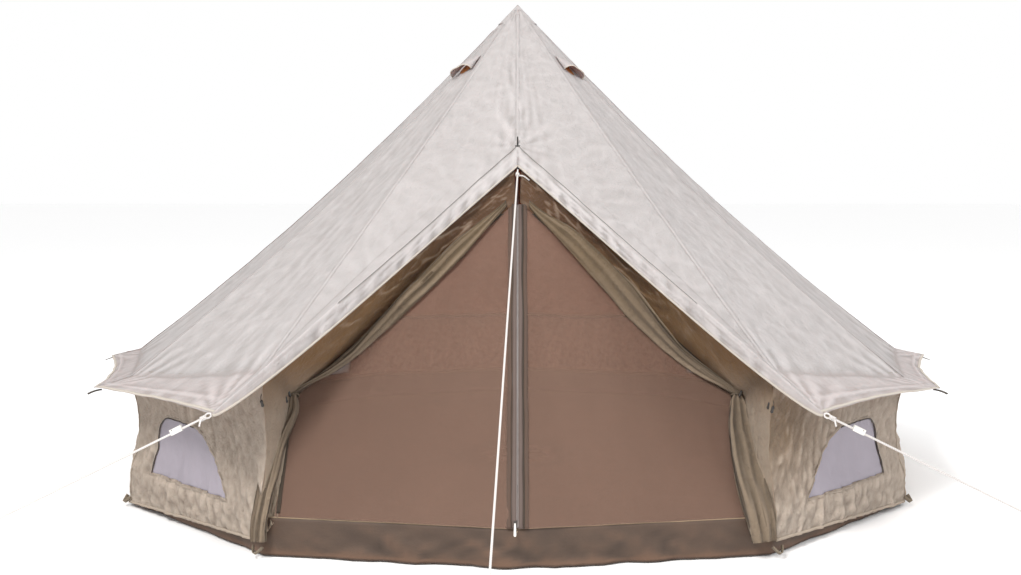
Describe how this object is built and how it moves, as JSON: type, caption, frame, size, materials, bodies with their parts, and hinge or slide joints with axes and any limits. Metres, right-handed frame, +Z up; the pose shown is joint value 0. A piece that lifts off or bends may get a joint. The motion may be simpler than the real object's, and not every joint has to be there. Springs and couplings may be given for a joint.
{
  "type": "bell tent",
  "caption": "Twelve-sided canvas bell tent on a centre pole and a door pole, with mesh door leaves, arched windows, hooded vents, brown groundsheet and guy ropes.",
  "frame": {"origin": "centre of the groundsheet's underside, on the ground under the centre pole", "axes": "+Z up along the centre pole, -Y out through the door, +X to the right seen from in front of the door"},
  "size_m": [4.5312, 5.1862, 2.4],
  "materials": {
    "roof_canvas": "pale cotton canvas, plain weave, matt, sun-lit off-white",
    "wall_canvas": "same pale cotton canvas, seen in shade, slightly soiled at the hem",
    "door_canvas": "soft gathered cotton canvas",
    "door_mesh": "fine see-through insect netting",
    "window_mesh": "fine insect netting over a pale window",
    "groundsheet_sheeting": "heavy brown coated sheeting with a turned-up edge",
    "zip_tape": "woven zip tape and facing",
    "zip_metal": "dull metal slider",
    "white_plastic": "plain white plastic",
    "pole_steel": "zinc-plated steel tube",
    "black_rubber": "matt black foot",
    "guy_rope": "white braided rope",
    "peg_steel": "galvanised steel rod"
  },
  "bodies": {
    "tent": {"roof_gore_01": "roof_canvas", "roof_gore_02": "roof_canvas", "roof_gore_03": "roof_canvas", "roof_gore_04": "roof_canvas", "roof_gore_05": "roof_canvas", "roof_gore_06": "roof_canvas", "roof_gore_07": "roof_canvas", "roof_gore_08": "roof_canvas", "roof_gore_09": "roof_canvas", "roof_gore_10": "roof_canvas", "roof_gore_11": "roof_canvas", "roof_gore_12": "roof_canvas", "vent_hood_1": "roof_canvas", "vent_hood_2": "roof_canvas", "vent_hood_3": "roof_canvas", "vent_hood_4": "roof_canvas", "apex_cap": "roof_canvas", "wall_panel_01": "wall_canvas", "wall_panel_02": "wall_canvas", "wall_panel_03": "wall_canvas", "wall_panel_04": "wall_canvas", "wall_panel_05": "wall_canvas", "wall_panel_06": "wall_canvas", "wall_panel_07": "wall_canvas", "wall_panel_08": "wall_canvas", "wall_panel_09": "wall_canvas", "wall_panel_10": "wall_canvas", "door_side_panel_right": "wall_canvas", "door_side_panel_left": "wall_canvas", "window_mesh_1": "window_mesh", "window_mesh_2": "window_mesh", "window_mesh_3": "window_mesh", "window_mesh_4": "window_mesh", "groundsheet": "groundsheet_sheeting", "canvas_flap_right": "door_canvas", "canvas_flap_left": "door_canvas", "centre_pole_lower": "pole_steel", "centre_pole_upper": "pole_steel", "centre_pole_spike": "pole_steel", "door_pole_lower": "pole_steel", "door_pole_upper": "pole_steel", "door_pole_spike": "pole_steel", "centre_pole_foot": "black_rubber", "door_pole_foot": "black_rubber", "guy_rope_front": "guy_rope", "guy_rope_left": "guy_rope", "guy_rope_right": "guy_rope", "guy_peg_front": "peg_steel", "guy_peg_left": "peg_steel", "guy_peg_right": "peg_steel"},
    "door_leaf_right": {"mesh_leaf_right": "door_mesh", "zip_tape_right": "zip_tape"},
    "door_leaf_left": {"mesh_leaf_left": "door_mesh", "zip_tape_left": "zip_tape"},
    "zip_slider": {"zip_slider": "zip_metal"},
    "zip_pull": {"zip_pull": "white_plastic"},
    "guy_runner_front": {"guy_runner_front": "white_plastic"},
    "guy_runner_left": {"guy_runner_left": "white_plastic"},
    "guy_runner_right": {"guy_runner_right": "white_plastic"}
  },
  "joints": [
    {"name": "door_leaf_right_swing", "type": "hinge", "parent": "tent", "child": "door_leaf_right", "pos_m": [0, -0.982, 1.37], "axis": [-0.5525, 0.4332, 0.7121], "range_deg": [0, 75]},
    {"name": "door_leaf_left_swing", "type": "hinge", "parent": "tent", "child": "door_leaf_left", "pos_m": [0, -0.982, 1.37], "axis": [-0.5525, -0.4332, -0.7121], "range_deg": [0, 75]},
    {"name": "zip_slider_travel", "type": "slide", "parent": "door_leaf_left", "child": "zip_slider", "axis": [0, 0.5985, 0.8011], "range_m": [0, 1.33]},
    {"name": "zip_pull_tilt", "type": "hinge", "parent": "zip_slider", "child": "zip_pull", "pos_m": [-0.0102, -1.8926, 0.1761], "axis": [-1, 0, 0], "range_deg": [0, 150]},
    {"name": "guy_runner_front_slide", "type": "slide", "parent": "tent", "child": "guy_runner_front", "axis": [-0.0393, -0.8228, -0.5669], "range_m": [-0.5, 0.06]},
    {"name": "guy_runner_left_slide", "type": "slide", "parent": "tent", "child": "guy_runner_left", "axis": [-0.895, 0.046, -0.4436], "range_m": [-0.05, 0.6]},
    {"name": "guy_runner_right_slide", "type": "slide", "parent": "tent", "child": "guy_runner_right", "axis": [0.895, 0.046, -0.4436], "range_m": [-0.05, 0.6]}
  ]
}
